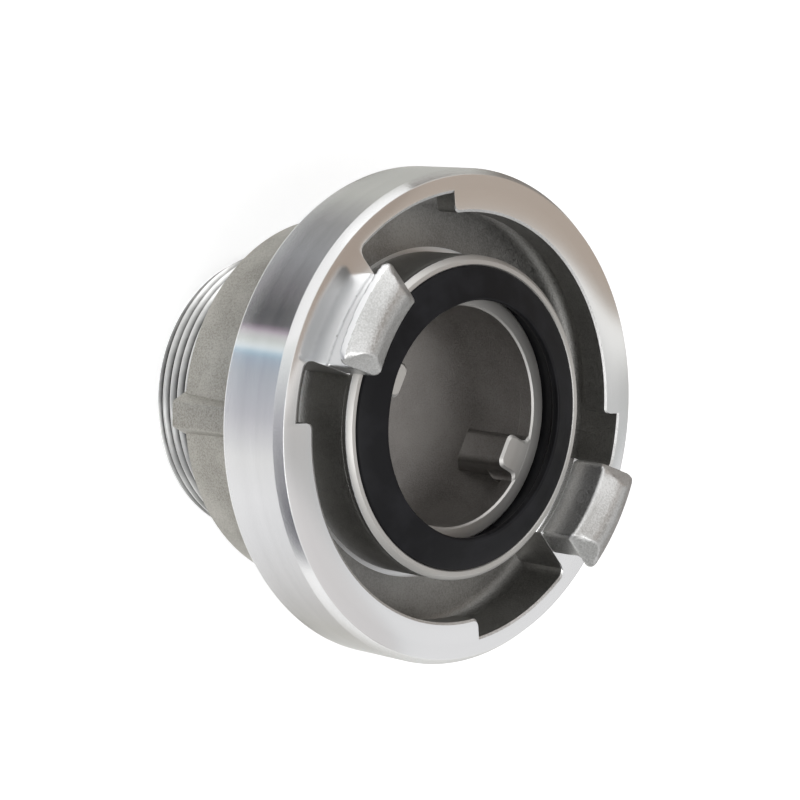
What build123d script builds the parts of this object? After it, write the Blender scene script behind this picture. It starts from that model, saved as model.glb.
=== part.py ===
from build123d import *
import math
import os

os.makedirs("parts", exist_ok=True)

# Quarter turn fire hose coupling, 52 mm class, fixed half with a male pipe thread.
# The Z axis is the waterway's axis, Z = 0 is the threaded end and the hooked front points
# up. The X axis runs through the middle of both lugs. Sizes are in millimetres, angles in
# degrees.

# Heights along the axis
thread_length = 18.5
bell_length = 25.9
ring_width = 16.1

# Turned ring, which sets the radii of the track, the tube and the waterway inside it
ring_radius = 49.0
ring_wall = 4.5
ring_chamfer_length = 1.7
ring_chamfer_width = 1.2
ring_back_chamfer = 0.5

# Bayonet track behind the lips
lip_width = 4.0
lip_entry_thickness = 5.0
lip_end_thickness = 5.9
lip_corner_radius = 1.2
opening_corner_radius = 2.0
track_mouth = 8.4
track_depth = 12.5
track_fillet = 3.0
foot_groove_width = 1.0
foot_groove_depth = 0.6
wall_relief_depth = 0.3
wall_relief_height = 2.0

# Angular layout of one half, repeated after half a turn
lug_angle = 30.5
notch_angle = 15.7
entry_angle = 35.4

# Hooked lugs
lug_clearance = 1.25
lug_rim_gap = 1.0
lug_rim_gap_depth = 1.3
lug_hook_width = 4.55
lug_root = 1.0
hook_gap = 7.1
hook_bevel = 1.8
crown_height = 10.4
crown_drop = 1.3
crown_share = 0.37
lug_inner_height = 8.4
lug_inner_bevel_width = 3.2
lug_inner_bevel_height = 1.5
lug_facet_height = 6.9
lug_facet_lean = 45
lug_end_draft = 1.2
lug_hook_corner = 2.5
lug_inner_corner = 0.8
shaft_groove = 0.3

# Inner tube with the seal's groove and collar
tube_wall = 2.0
rim_rise = 0.6
rim_chamfer = 0.9
mouth_chamfer = 0.3
seal_groove_width = 4.7
seal_groove_depth = 9.5
collar_wall = 3.4
collar_drop = 3.7
collar_length = 5.6
collar_chamfer = 0.6

# Waterway behind the collar
chamber_step = 2.2
chamber_length = 13.3
outlet_chamfer = 1.0

# Ribs inside the waterway
inner_rib_width = 7.1
inner_rib_height = 6.0
inner_rib_crest = 11.9
inner_rib_root = 18.9
inner_rib_round = 1.6
inner_rib_angle = 6.0

# Male pipe thread, left as a plain cylinder of the thread's major size
thread_radius = 29.8
thread_lead = 1.4
thread_wall = 6.5
neck_depth = 1.8
neck_width = 2.5

# Cast bell between the thread's shoulder and the ring
shoulder_width = 7.8
shoulder_chamfer = 0.8
bell_draft = 1.0
bell_front_step = 4.8
bell_flare_length = 9.9

# Ribs on the outside of the bell
outer_rib_count = 4
outer_rib_angle = 34.0
outer_rib_width = 5.1
outer_rib_height = 2.6
outer_rib_round = 0.8

# Rubber lip seal
seal_clearance = 0.05
seal_rim_height = 0.8
seal_lip_reach = 2.1
seal_lip_height = 2.8
seal_lip_thickness = 1.9
seal_pocket_drop = 1.0

# Radii that follow from the ring
opening_radius = ring_radius - ring_wall
lip_radius = opening_radius - lip_width
lug_shaft_radius = lip_radius - lug_clearance
lug_outer_radius = lug_shaft_radius + lug_hook_width
tube_radius = lip_radius - track_mouth
lug_inner_radius = tube_radius + lug_rim_gap
mouth_radius = tube_radius - tube_wall
collar_outer_radius = mouth_radius - seal_groove_width
collar_inner_radius = collar_outer_radius - collar_wall
chamber_radius = collar_inner_radius + chamber_step
inner_rib_radius = collar_inner_radius - inner_rib_height
seal_lip_radius = collar_outer_radius - seal_lip_reach

# Radii that follow from the thread
neck_radius = thread_radius - neck_depth
outlet_radius = thread_radius - thread_wall
bell_rear_radius = thread_radius + shoulder_width
bell_waist_radius = bell_rear_radius + bell_draft
bell_front_radius = ring_radius - bell_front_step
outer_rib_radius = bell_rear_radius + outer_rib_height

# Levels that follow from the heights
shoulder_z = thread_length
ring_back_z = thread_length + bell_length
face_z = ring_back_z + ring_width
track_z = face_z - track_depth
rim_z = face_z + rim_rise
seat_z = rim_z - seal_groove_depth
collar_z = rim_z - collar_drop
chamber_top_z = collar_z - collar_length
chamber_end_z = chamber_top_z - chamber_length
hook_z = face_z + hook_gap
crown_z = face_z + crown_height

# Angles that follow from the layout, counted from the middle of a lug
lug_end = lug_angle / 2
lip_start = lug_end + notch_angle
lip_end = 180 - lug_end - entry_angle
cavity_angle = 180 - lug_angle
lip_angle = lip_end - lip_start


def radial_plane(angle, height=0.0):
    """Plane that holds the Z axis, its x along the radius at this angle and its y upward."""
    turn = math.radians(angle)
    return Plane(
        origin=(0, 0, height),
        x_dir=(math.cos(turn), math.sin(turn), 0),
        z_dir=(math.sin(turn), -math.cos(turn), 0),
    )


def level_plane(angle, height=0.0):
    """Level plane at this height, its x axis turned to this angle."""
    turn = math.radians(angle)
    return Plane(
        origin=(0, 0, height),
        x_dir=(math.cos(turn), math.sin(turn), 0),
        z_dir=(0, 0, 1),
    )


def facet_plane(side):
    """Plane of the slanted facet at a lug's end, 1 for the larger angle and -1 for the other."""
    turn = math.radians(lug_end) * side
    lean = math.radians(lug_facet_lean)
    return Plane(
        origin=(
            lug_outer_radius * math.cos(turn),
            lug_outer_radius * math.sin(turn),
            face_z + lug_facet_height,
        ),
        z_dir=(
            -math.sin(turn) * side * math.cos(lean),
            math.cos(turn) * side * math.cos(lean),
            math.sin(lean),
        ),
    )


def sector(inner_radius, outer_radius, start, span):
    """Outline of a ring's sector between two radii, counted from the sketch's x axis."""
    first = math.radians(start)
    last = math.radians(start + span)
    CenterArc((0, 0), outer_radius, start, span)
    Line(
        (outer_radius * math.cos(last), outer_radius * math.sin(last)),
        (inner_radius * math.cos(last), inner_radius * math.sin(last)),
    )
    CenterArc((0, 0), inner_radius, start + span, -span)
    Line(
        (inner_radius * math.cos(first), inner_radius * math.sin(first)),
        (outer_radius * math.cos(first), outer_radius * math.sin(first)),
    )


# Cutter that gives a lip its ramped underside, thinnest where the mating lug comes in
with BuildPart() as ramp_cutter:
    ramp_rise = lip_end_thickness - lip_entry_thickness
    ramp_pitch = ramp_rise * 360 / lip_angle
    ramp_run_out = 0.5
    ramp_z = face_z - lip_end_thickness
    with BuildLine() as ramp_path:
        Helix(
            pitch=ramp_pitch,
            height=ramp_rise + ramp_pitch * ramp_run_out / 360,
            radius=lip_radius,
            center=(0, 0, ramp_z),
        )
    with BuildSketch(radial_plane(0, ramp_z)):
        with Locations((lip_radius - 1, 0)):
            Rectangle(
                opening_radius - lip_radius + 1 + wall_relief_depth,
                wall_relief_height,
                align=(Align.MIN, Align.MAX),
            )
    sweep(path=ramp_path.line, is_frenet=True)

# Cutter for one bayonet track, open to the front inside the lip
with BuildPart() as track_cutter:
    with BuildSketch(level_plane(0, track_z - foot_groove_depth)) as track_plan:
        with BuildLine():
            sector(tube_radius, opening_radius, lug_end, cavity_angle)
        make_face()
        fillet(track_plan.vertices().sort_by(lambda v: (v.X**2 + v.Y**2))[-2:], opening_corner_radius)
    extrude(amount=crown_z - track_z + foot_groove_depth)
    with BuildSketch(Plane.XZ):
        with BuildLine():
            Polyline(
                (opening_radius, track_z + track_fillet),
                (opening_radius + 1, track_z + track_fillet),
                (opening_radius + 1, face_z - lip_end_thickness),
                (lip_radius, face_z - lip_end_thickness),
                (lip_radius, crown_z + 1),
                (tube_radius - 1, crown_z + 1),
                (tube_radius - 1, track_z - foot_groove_depth),
                (tube_radius + foot_groove_width, track_z - foot_groove_depth),
                (tube_radius + foot_groove_width, track_z),
                (opening_radius - track_fillet, track_z),
            )
            TangentArc(
                (opening_radius - track_fillet, track_z),
                (opening_radius, track_z + track_fillet),
                tangent=(1, 0),
            )
        make_face()
    revolve(axis=Axis.Z, mode=Mode.INTERSECT)

# Cutter for the notch beside one end of a lug and the entry opening beside the next lug
with BuildPart() as opening_cutter:
    for start, span, corner in ((lug_end, notch_angle, lug_end), (lip_end, entry_angle, 180 - lug_end)):
        with BuildSketch(level_plane(0, face_z - lip_end_thickness - 1)) as opening_plan:
            with BuildLine():
                sector(lip_radius - 1, opening_radius, start, span)
            make_face()
            turn = math.radians(corner)
            point = Vector(opening_radius * math.cos(turn), opening_radius * math.sin(turn))
            fillet(
                opening_plan.vertices().sort_by_distance(point)[:1],
                opening_corner_radius,
            )
        extrude(amount=lip_end_thickness + 2)

# One hooked lug, standing on the ring's face across the X axis
with BuildPart() as lug:
    with BuildSketch(level_plane(0, face_z - lug_root)) as lug_plan:
        with BuildLine():
            sector(lug_inner_radius, lug_outer_radius, -lug_end, lug_angle)
        make_face()
        corners = lug_plan.vertices().sort_by(lambda v: (v.X**2 + v.Y**2))
        fillet(corners[-2:], lug_hook_corner)
        fillet(corners[:2], lug_inner_corner)
    extrude(amount=crown_height + lug_root + 1, taper=lug_end_draft)
    with BuildSketch(Plane.XZ):
        with BuildLine():
            inner_z = face_z + lug_inner_height
            bevel_z = inner_z + lug_inner_bevel_height
            crown_start = lug_inner_radius + lug_inner_bevel_width
            crown_end = lug_outer_radius - hook_bevel
            crown_end_z = crown_z - crown_drop
            crown_radius = crown_start + crown_share * (crown_end - crown_start)
            Polyline(
                (crown_end, crown_end_z),
                (lug_outer_radius, crown_end_z - hook_bevel),
                (lug_outer_radius + 1, crown_end_z - hook_bevel),
                (lug_outer_radius + 1, hook_z),
                (lug_shaft_radius, hook_z),
                (lug_shaft_radius, face_z + shaft_groove),
                (lug_shaft_radius - shaft_groove, face_z),
                (lug_shaft_radius - shaft_groove, face_z - lug_root),
                (lug_inner_radius - 1, face_z - lug_root),
                (lug_inner_radius - 1, inner_z - lug_inner_bevel_height / lug_inner_bevel_width),
                (crown_start, bevel_z),
            )
            ThreePointArc(
                (crown_start, bevel_z),
                (crown_radius, crown_z),
                (crown_end, crown_end_z),
            )
        make_face()
    revolve(axis=Axis.Z, mode=Mode.INTERSECT)
    for side in (1, -1):
        split(bisect_by=facet_plane(side), keep=Keep.BOTTOM)

# One rib inside the waterway, its inner corners rounded
with BuildPart() as inner_rib:
    with BuildSketch(radial_plane(inner_rib_angle)):
        rib_root = chamber_radius + 0.1
        Polygon(
            (inner_rib_radius, collar_z),
            (rib_root, collar_z),
            (rib_root, collar_z - inner_rib_root),
            (inner_rib_radius, collar_z - inner_rib_crest),
            align=None,
        )
    extrude(amount=inner_rib_width / 2, both=True)
    rib_edges = inner_rib.edges().sort_by(lambda e: math.hypot((e @ 0.5).X, (e @ 0.5).Y))
    fillet(rib_edges.filter_by(Axis.Z)[:2], inner_rib_round)

with BuildPart() as coupling_body:
    # Outside from the outlet to the ring's face, the raised rim and the seal's groove
    with BuildSketch(Plane.XZ):
        with BuildLine():
            neck_z = shoulder_z - neck_width
            waist_z = ring_back_z - bell_flare_length
            Polyline(
                (outlet_radius + outlet_chamfer, 0),
                (thread_radius - thread_lead, 0),
                (thread_radius, thread_lead),
                (thread_radius, neck_z),
                (neck_radius, neck_z + neck_depth / 2),
                (neck_radius, shoulder_z),
                (bell_rear_radius - shoulder_chamfer, shoulder_z),
                (bell_rear_radius, shoulder_z + shoulder_chamfer),
                (bell_waist_radius, waist_z),
            )
            TangentArc(
                (bell_waist_radius, waist_z),
                (bell_front_radius, ring_back_z),
                tangent=(0, 1),
            )
            Polyline(
                (bell_front_radius, ring_back_z),
                (ring_radius - ring_back_chamfer, ring_back_z),
                (ring_radius, ring_back_z + ring_back_chamfer),
                (ring_radius, face_z - ring_chamfer_length),
                (ring_radius - ring_chamfer_width, face_z),
                (lug_inner_radius, face_z),
                (lug_inner_radius, face_z - lug_rim_gap_depth),
                (tube_radius, face_z - lug_rim_gap_depth),
                (tube_radius, rim_z - rim_chamfer),
                (tube_radius - rim_chamfer, rim_z),
                (mouth_radius + mouth_chamfer, rim_z),
                (mouth_radius, rim_z - mouth_chamfer),
                (mouth_radius, seat_z),
                (collar_outer_radius, seat_z),
                (collar_outer_radius, collar_z - collar_chamfer),
                (collar_outer_radius - collar_chamfer, collar_z),
                (collar_inner_radius, collar_z),
                (collar_inner_radius, chamber_top_z + chamber_radius - collar_inner_radius),
                (chamber_radius, chamber_top_z),
                (chamber_radius, chamber_end_z),
                (outlet_radius, shoulder_z),
                (outlet_radius, outlet_chamfer),
                (outlet_radius + outlet_chamfer, 0),
            )
        make_face()
    revolve(axis=Axis.Z)

    # Bayonet tracks, notches, entry openings and the lips' ramped undersides
    for half in (0, 180):
        add(track_cutter.part, rotation=(0, 0, half), mode=Mode.SUBTRACT)
        add(opening_cutter.part, rotation=(0, 0, half), mode=Mode.SUBTRACT)
        add(ramp_cutter.part, rotation=(0, 0, half + lip_start), mode=Mode.SUBTRACT)

    # Hooked lugs
    add(lug.part)
    add(lug.part, rotation=(0, 0, 180))

    # Ribs on the outside of the bell, flush with the thread's shoulder
    for index in range(outer_rib_count):
        rib_angle = outer_rib_angle + index * 360 / outer_rib_count
        with BuildSketch(level_plane(rib_angle, shoulder_z)):
            rib_root = neck_radius + 4
            rib_flank = outer_rib_radius - rib_root
            outline = Polygon(
                (outer_rib_radius, -outer_rib_width / 2),
                (outer_rib_radius, outer_rib_width / 2),
                (rib_root, outer_rib_width / 2 + rib_flank),
                (rib_root, -outer_rib_width / 2 - rib_flank),
                align=None,
            )
            fillet(outline.vertices().sort_by(Axis.X)[-2:], outer_rib_round)
        extrude(amount=bell_length)

    # Ribs inside the waterway, flush with the collar and sloped at the back
    add(inner_rib.part)
    add(inner_rib.part, rotation=(0, 0, 180))

    # Rounded corners where the lips end, and one chamfer round the collar and its ribs
    lip_corners = (
        coupling_body.edges()
        .filter_by(Axis.Z)
        .filter_by(lambda e: abs(math.hypot(e.center().X, e.center().Y) - lip_radius) < 0.05)
    )
    fillet(lip_corners, lip_corner_radius)
    collar_edges = coupling_body.edges().filter_by(
        lambda e: abs(e.bounding_box().min.Z - collar_z) < 0.01
        and abs(e.bounding_box().max.Z - collar_z) < 0.01
        and math.hypot((e @ 0.5).X, (e @ 0.5).Y) < collar_inner_radius + 0.1
    )
    chamfer(collar_edges, collar_chamfer)

with BuildPart() as lip_seal:
    # Lip seal in the tube's mouth, its lip reaching over the collar
    with BuildSketch(Plane.XZ):
        with BuildLine():
            seal_outer = mouth_radius - seal_clearance
            seal_inner = collar_outer_radius + seal_clearance
            lip_top = face_z + seal_lip_height
            lip_bottom = lip_top - seal_lip_thickness
            Polyline(
                (seal_inner, seat_z),
                (seal_outer, seat_z),
                (seal_outer, face_z + seal_rim_height),
                (seal_lip_radius, lip_top),
                (seal_lip_radius, lip_bottom),
                (seal_inner, face_z - seal_pocket_drop),
                (seal_inner, seat_z),
            )
        make_face()
    revolve(axis=Axis.Z)

coupling_body.part.label = "coupling_body"
lip_seal.part.label = "lip_seal"
export_step(coupling_body.part, "parts/coupling_body.step")
export_step(lip_seal.part, "parts/lip_seal.step")
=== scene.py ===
import logging
import math
from collections.abc import Sequence
from dataclasses import dataclass, field
from enum import Enum

import bmesh
import bpy
from mathutils import Matrix, Quaternion, Vector


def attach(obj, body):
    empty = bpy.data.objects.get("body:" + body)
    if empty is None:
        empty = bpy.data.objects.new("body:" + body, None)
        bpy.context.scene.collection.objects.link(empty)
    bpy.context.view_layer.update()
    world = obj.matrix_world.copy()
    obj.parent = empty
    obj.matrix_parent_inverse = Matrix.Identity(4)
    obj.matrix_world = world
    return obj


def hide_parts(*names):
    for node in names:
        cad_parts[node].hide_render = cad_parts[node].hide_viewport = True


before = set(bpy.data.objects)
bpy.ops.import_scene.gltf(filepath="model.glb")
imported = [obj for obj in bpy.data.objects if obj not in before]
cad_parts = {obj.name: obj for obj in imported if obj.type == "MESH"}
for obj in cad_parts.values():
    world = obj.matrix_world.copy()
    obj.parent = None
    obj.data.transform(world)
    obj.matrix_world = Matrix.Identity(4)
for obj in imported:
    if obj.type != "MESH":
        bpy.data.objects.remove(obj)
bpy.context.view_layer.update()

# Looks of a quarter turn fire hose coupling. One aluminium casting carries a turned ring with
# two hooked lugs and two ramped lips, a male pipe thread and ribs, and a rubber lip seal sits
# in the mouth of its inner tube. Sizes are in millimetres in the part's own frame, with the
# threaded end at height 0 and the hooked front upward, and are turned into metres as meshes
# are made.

LOG = logging.getLogger("coupling")
MILLIMETRE = 0.001

# Metres within which points weld, and shorter than which edges are dropped
WELD = 2e-6
SLIVER = 1e-7

# Millimetres that meshes overlap or stand clear, and within which two levels count as one
HAIR = 0.02

# Millimetres within which a face counts as lying on a radius
NEAR = 0.1

# Shares of a face's normal above which it counts as leaning, facing, square or flat
LEANING = 0.3
FACING = 0.5
SQUARE = 0.9
FLAT = 0.99

# Metres that the bumps of machined and of moulded or cast skins stand high
FINE_BUMP = 0.00002
COARSE_BUMP = 0.0001

# Limits that one noise, and the sum of two, mostly stay within
ONE_NOISE = (0.3, 0.7)
TWO_NOISES = (0.7, 1.3)

# Share of a turn that lays brushed highlights across the grooves
ACROSS = 0.25

Colour = tuple[float, float, float]
Point = tuple[float, float]
Outline = list[Point]
Column = tuple[float, float, float]
Tone = tuple[float, Colour]
Socket = bpy.types.NodeSocket

WHITE = (1.0, 1.0, 1.0)
PLAIN = ((0.0, WHITE), (1.0, WHITE))


class Ends(Enum):
    """How a loft treats its first and last sections."""

    CAPPED = "capped"
    LOOPED = "looped"
    WELDED = "welded"


class Surface(Enum):
    """The finishes a face of the casting can have."""

    TURNED_BAND = "turned_band"
    TURNED_FACE = "turned_face"
    TURNED_HOOK = "turned_hook"
    CAST_BELL = "cast_bell"
    CAST_TRACK = "cast_track"
    CAST_LUG = "cast_lug"
    CAST_BORE = "cast_bore"
    THREAD = "thread"
    WORN_RIM = "worn_rim"


def polar(radius: float, angle: float, height: float) -> Vector:
    """Returns a point in metres from a radius, an angle in degrees and a height.

    Args:
        radius: Distance from the waterway's axis, in millimetres.
        angle: Angle about the axis, in degrees.
        height: Height above the threaded end, in millimetres.

    Returns:
        The point in the part's frame, in metres.
    """
    turn = math.radians(angle)
    return Vector((radius * math.cos(turn), radius * math.sin(turn), height)) * MILLIMETRE


def clamp(value: float, low: float, high: float) -> float:
    """Returns the value kept between two limits."""
    return max(low, min(high, value))


def direction(azimuth: float, elevation: float) -> Vector:
    """Finds the unit vector that points away from the part.

    Args:
        azimuth: Angle about the axis, in degrees.
        elevation: Angle above the level, in degrees.

    Returns:
        The vector.
    """
    turn, rise = math.radians(azimuth), math.radians(elevation)
    level = math.cos(rise)
    return Vector((math.cos(turn) * level, math.sin(turn) * level, math.sin(rise)))


def shifted(offsets: Sequence[Point], radius: float, height: float) -> Outline:
    """Returns offsets as points about a radius and a height."""
    return [(radius + across, height + upward) for across, upward in offsets]


def arc(centre: Point, radius: float, start: float, end: float, steps: int) -> Outline:
    """Returns points along an arc in the plane of radius and height.

    Args:
        centre: Centre of the arc.
        radius: Radius of the arc, in millimetres.
        start: First angle, in degrees from the outward direction.
        end: Last angle, in degrees.
        steps: Number of straight steps along the arc.

    Returns:
        The points from start to end, both included.
    """
    turns = [math.radians(start + (end - start) * index / steps) for index in range(steps + 1)]
    return [(centre[0] + radius * math.cos(t), centre[1] + radius * math.sin(t)) for t in turns]


def placed(name: str, data: bpy.types.ID) -> bpy.types.Object:
    """Makes an object of a mesh, lamp or camera and puts it into the scene.

    Args:
        name: Name of the new object.
        data: The mesh, lamp or camera.

    Returns:
        The new object.
    """
    piece = bpy.data.objects.new(name, data)
    bpy.context.scene.collection.objects.link(piece)
    return piece


def loft(name: str, sections: Sequence[Sequence[Vector]], ends: Ends) -> bpy.types.Object:
    """Joins closed sections of equal length into a closed mesh.

    Args:
        name: Name of the new object.
        sections: The sections in order, each a closed loop of points in metres.
        ends: Whether the ends are capped, joined to each other, or lie on each other and weld.

    Returns:
        The new object, linked to the scene.
    """
    mesh = bmesh.new()
    rings = [[mesh.verts.new(point) for point in section] for section in sections]
    pairs = list(zip(rings, rings[1:]))
    if ends is Ends.LOOPED:
        pairs.append((rings[-1], rings[0]))
    for first, second in pairs:
        count = len(first)
        for index in range(count):
            after = (index + 1) % count
            mesh.faces.new((first[index], first[after], second[after], second[index]))
    if ends is Ends.CAPPED:
        mesh.faces.new(rings[0])
        mesh.faces.new(list(reversed(rings[-1])))
    bmesh.ops.remove_doubles(mesh, verts=mesh.verts, dist=WELD)
    bmesh.ops.dissolve_degenerate(mesh, dist=SLIVER, edges=mesh.edges)
    bmesh.ops.recalc_face_normals(mesh, faces=mesh.faces)
    data = bpy.data.meshes.new(name)
    mesh.to_mesh(data)
    mesh.free()
    return placed(name, data)


def flat_sheet(name: str, x: float, y: float) -> bpy.types.Mesh:
    """Makes the mesh of a flat sheet.

    Args:
        name: Name of the mesh.
        x: Half its size along X, in metres.
        y: Half its size along Y, in metres.

    Returns:
        The mesh, one face about its own origin.
    """
    data = bpy.data.meshes.new(name)
    data.from_pydata([(-x, -y, 0), (x, -y, 0), (x, y, 0), (-x, y, 0)], [], [(0, 1, 2, 3)])
    return data


def apply_modifiers(piece: bpy.types.Object) -> None:
    """Makes the result of an object's modifiers its mesh.

    Args:
        piece: The object that is changed.
    """
    graph = bpy.context.evaluated_depsgraph_get()
    made = bpy.data.meshes.new_from_object(piece.evaluated_get(graph))
    piece.modifiers.clear()
    old = piece.data
    piece.data = made
    bpy.data.meshes.remove(old)


def combine(
    body: bpy.types.Object,
    cuts: Sequence[bpy.types.Object],
    additions: Sequence[bpy.types.Object],
) -> None:
    """Cuts some meshes out of a body and joins others to it, and removes them.

    Args:
        body: The mesh that is changed.
        cuts: Meshes whose room is taken out of it.
        additions: Meshes that become part of it.
    """
    for operation, tools in (("DIFFERENCE", cuts), ("UNION", additions)):
        for tool in tools:
            step = body.modifiers.new(tool.name, "BOOLEAN")
            step.operation = operation
            step.solver = "EXACT"
            step.object = tool
            apply_modifiers(body)
            bpy.data.objects.remove(tool)


def soften(piece: bpy.types.Object, voxel: float, passes: int) -> None:
    """Rounds all edges of a closed mesh, as a casting's edges are.

    Args:
        piece: The mesh that is changed.
        voxel: Size of the new mesh's faces, in millimetres.
        passes: Number of smoothing passes, each rounding a little more.
    """
    even = piece.modifiers.new("even", "REMESH")
    even.mode = "VOXEL"
    even.voxel_size = voxel * MILLIMETRE
    even.adaptivity = 0.0
    smooth = piece.modifiers.new("smooth", "SMOOTH")
    smooth.iterations = passes
    smooth.factor = 0.5
    apply_modifiers(piece)


def smooth_by_angle(piece: bpy.types.Object, angle: float) -> None:
    """Shades a mesh smooth, with creases where faces meet above an angle.

    Args:
        piece: The mesh object.
        angle: Largest angle that is shaded smooth, in degrees.
    """
    piece.data.polygons.foreach_set("use_smooth", [True] * len(piece.data.polygons))
    piece.data.set_sharp_from_angle(angle=math.radians(angle))


@dataclass(frozen=True)
class Heights:
    """Levels along the waterway's axis, in millimetres above the threaded end."""

    shoulder: float = 18.5
    ring_back: float = 44.4
    face: float = 60.5
    rim_rise: float = 0.6
    collar_drop: float = 3.7

    @property
    def rim(self) -> float:
        """Level of the inner tube's raised rim."""
        return self.face + self.rim_rise

    @property
    def collar(self) -> float:
        """Level of the collar inside the seal."""
        return self.rim - self.collar_drop


@dataclass(frozen=True)
class PipeThread:
    """Right hand male pipe thread with its lead chamfer and relief neck."""

    major_radius: float = 29.8
    minor_radius: float = 28.33
    pitch: float = 2.309
    top: float = 16.0
    lead: float = 0.8
    neck_radius: float = 28.0
    crest: float = 0.05
    rounding: float = 0.045
    rounding_depth: float = 0.09
    run_out_rise: float = 0.35
    run_out_slope: float = 1.2

    def form(self, distance: float) -> float:
        """Returns the thread's radius at a distance along its pitch.

        Args:
            distance: Distance from a crest's middle along the axis, in millimetres.

        Returns:
            The radius, in millimetres.
        """
        phase = abs((distance / self.pitch + 0.5) % 1.0 - 0.5)
        knee = self.crest + self.rounding
        high = self.major_radius
        low = self.minor_radius
        if phase <= self.crest:
            return high
        if phase <= knee:
            return high - self.rounding_depth * (phase - self.crest) / self.rounding
        if phase >= 0.5 - self.crest:
            return low
        if phase >= 0.5 - knee:
            return low + self.rounding_depth * (0.5 - self.crest - phase) / self.rounding
        share = (phase - knee) / (0.5 - 2 * knee)
        return high - self.rounding_depth - share * (high - low - 2 * self.rounding_depth)

    def rows(self) -> list[float]:
        """Finds the helical rows that follow the thread's crests, flanks and roots.

        Returns:
            The rows' heights at angle 0, in order, in millimetres.
        """
        knee = self.crest + self.rounding
        phases = (-knee, -self.crest, self.crest, knee)
        steps = [p % 1.0 for p in phases] + [(p + 0.5) % 1.0 for p in phases]
        turns = math.ceil(self.top / self.pitch) + 1
        return sorted((turn + step) * self.pitch for turn in range(-2, turns) for step in steps)

    def outline(self, angle: float) -> Outline:
        """Returns the thread's outline at one angle, from the end up to the neck.

        Args:
            angle: Angle about the axis, in degrees.

        Returns:
            Points of radius and height, as many at every angle.
        """
        rise = self.pitch * angle / 360
        points = []
        for row in self.rows():
            height = clamp(row + rise, 0.0, self.top)
            run_out = (
                self.neck_radius + self.run_out_rise + (self.top - height) * self.run_out_slope
            )
            lead = self.major_radius - self.lead + height
            points.append((min(self.form(height - rise), lead, run_out), height))
        return points


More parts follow.
